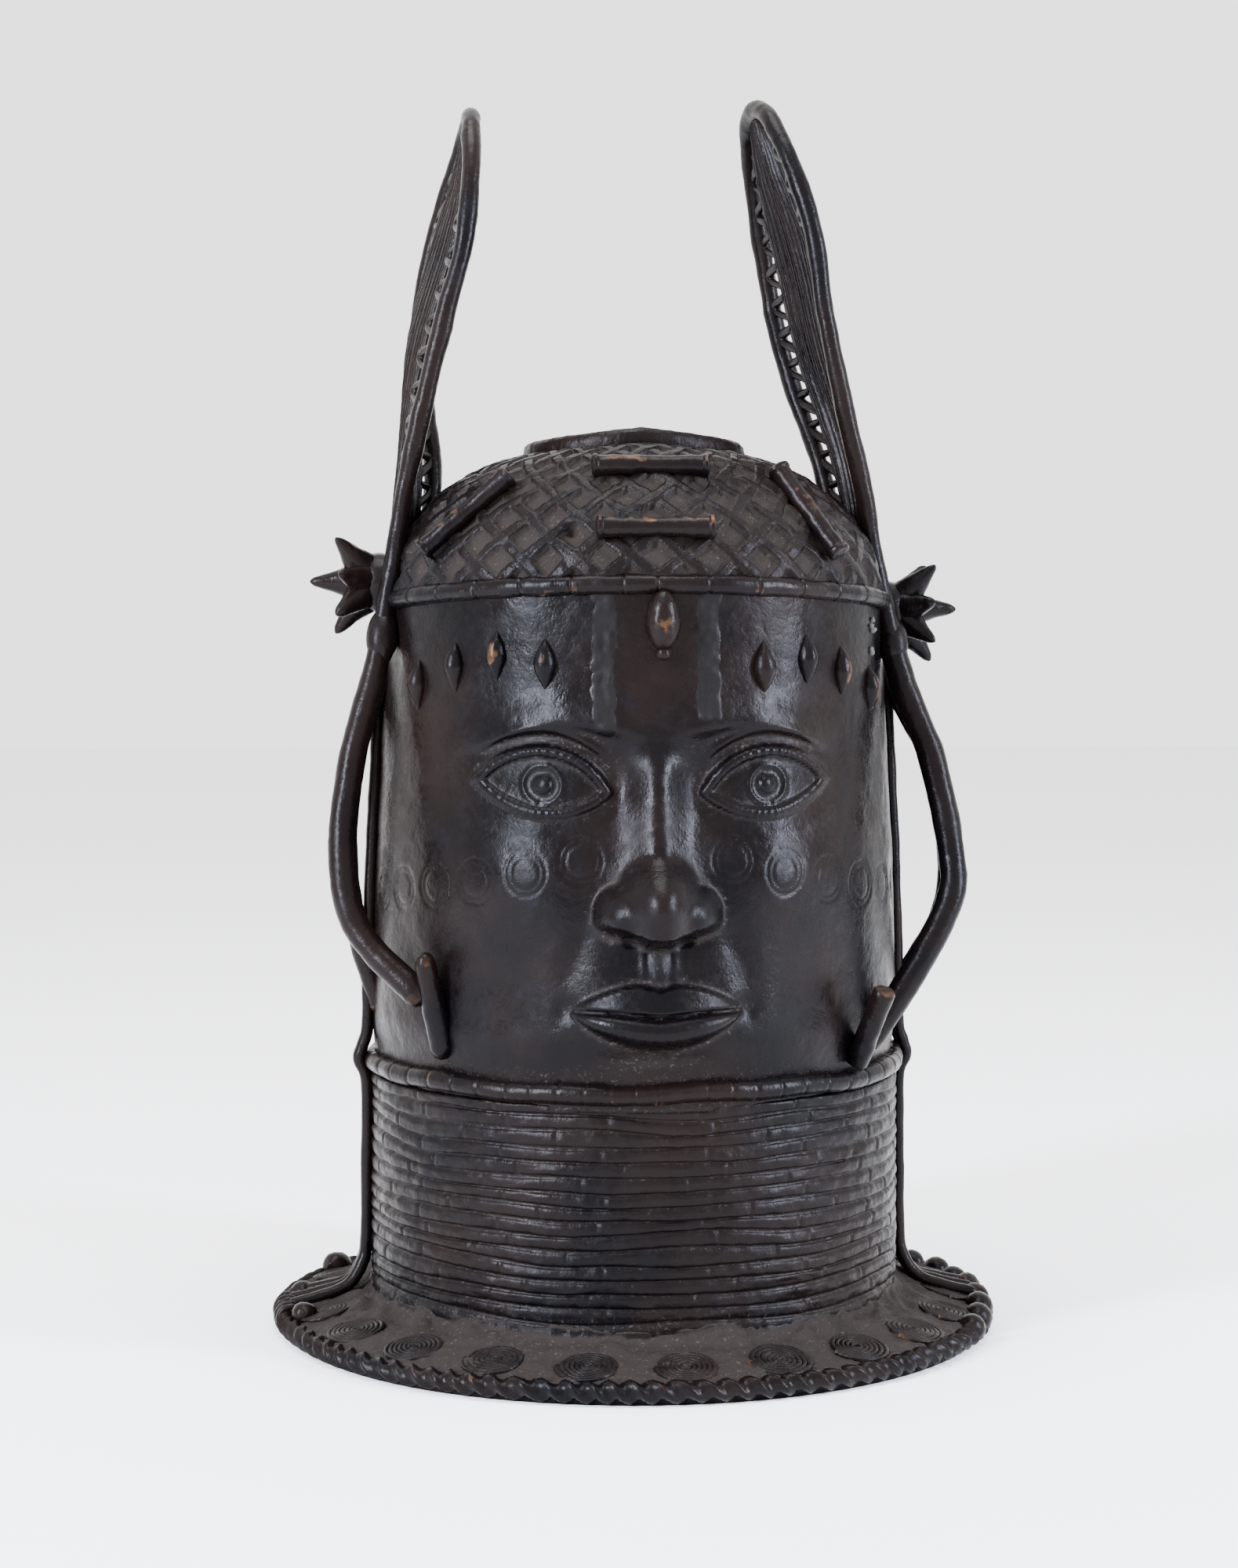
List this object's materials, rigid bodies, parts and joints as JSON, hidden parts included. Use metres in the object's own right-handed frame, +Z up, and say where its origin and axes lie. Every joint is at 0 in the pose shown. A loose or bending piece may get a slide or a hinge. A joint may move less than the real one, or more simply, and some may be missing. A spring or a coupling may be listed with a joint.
{
  "type": "bronze bust",
  "caption": "Hollow cast bronze head with a tall ringed collar, winged crown, side bars and a flanged rope-edged base, open below and at the crown.",
  "frame": {"origin": "middle of the flat underside of the base flange, on the surface the bust stands on", "axes": "+Z up through the collar and crown, -Y out of the face, +X to the viewer's right when facing the front"},
  "size_m": [0.295, 0.2966, 0.5001],
  "materials": {
    "bronze": "near-black brown patina with a satin sheen, dusty recesses and worn high points"
  },
  "bodies": {
    "root": {"bronze_bust": "bronze"}
  },
  "joints": []
}
